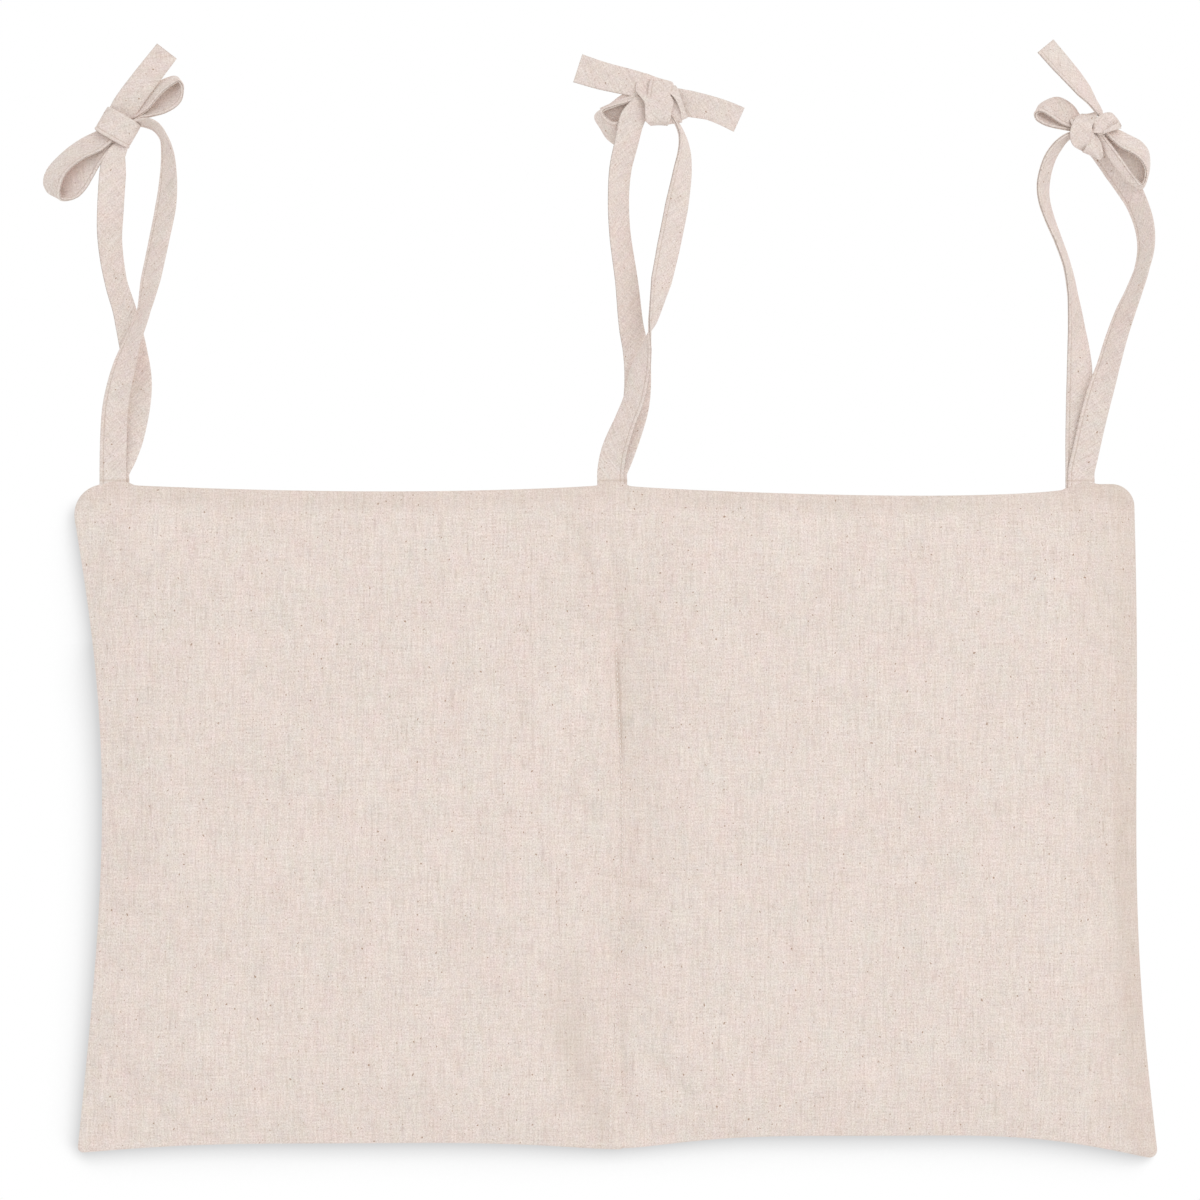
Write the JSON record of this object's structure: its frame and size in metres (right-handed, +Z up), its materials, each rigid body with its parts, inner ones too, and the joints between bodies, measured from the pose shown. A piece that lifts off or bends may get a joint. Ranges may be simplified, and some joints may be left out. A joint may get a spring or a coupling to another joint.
{
  "type": "crib storage bag",
  "caption": "Padded linen storage bag with two side-by-side pockets, hung from a crib rail by knotted cloth ties; it swings on its top seam and its pocket fronts gape.",
  "frame": {"origin": "on the axis of the crib rail that the three tie loops go round, above the middle of the bag, in the plane of the top seam", "axes": "+Z up, +X to the right seen from the plain back of the bag, which faces -Y; the pockets face +Y"},
  "size_m": [0.6249, 0.0395, 0.6267],
  "materials": {
    "linen": "unbleached slub linen, matt",
    "strap_linen": "the same linen cut on the bias, folded and stitched, matt",
    "lining": "plain linen, matt",
    "wadding": "bonded polyester wadding, matt"
  },
  "bodies": {
    "ties": {"left_tie_tail_strap": "strap_linen", "left_tie_bow_strap": "strap_linen", "centre_tie_tail_strap": "strap_linen", "centre_tie_bow_strap": "strap_linen", "right_tie_tail_strap": "strap_linen", "right_tie_bow_strap": "strap_linen"},
    "bag": {"back_panel": "linen", "wadding": "wadding", "front_panel": "lining"},
    "left_pocket": {"left_pocket_lining": "lining", "left_pocket_outer": "linen", "left_pocket_hem": "linen"},
    "right_pocket": {"right_pocket_lining": "lining", "right_pocket_outer": "linen", "right_pocket_hem": "linen"}
  },
  "joints": [
    {"name": "bag_swing", "type": "hinge", "parent": "ties", "child": "bag", "pos_m": [0, 0, -0.18], "axis": [1, 0, 0], "range_deg": [-60, 60]},
    {"name": "left_pocket_gape", "type": "hinge", "parent": "bag", "child": "left_pocket", "pos_m": [-0.15, 0.0015, -0.5515], "axis": [-1, 0, 0], "range_deg": [0, 8], "stiffness_Nm_per_rad": 0.3, "springref_deg": -5.73},
    {"name": "right_pocket_gape", "type": "hinge", "parent": "bag", "child": "right_pocket", "pos_m": [0.15, 0.0015, -0.5545], "axis": [-1, 0, 0], "range_deg": [0, 8], "stiffness_Nm_per_rad": 0.3, "springref_deg": -5.73}
  ]
}
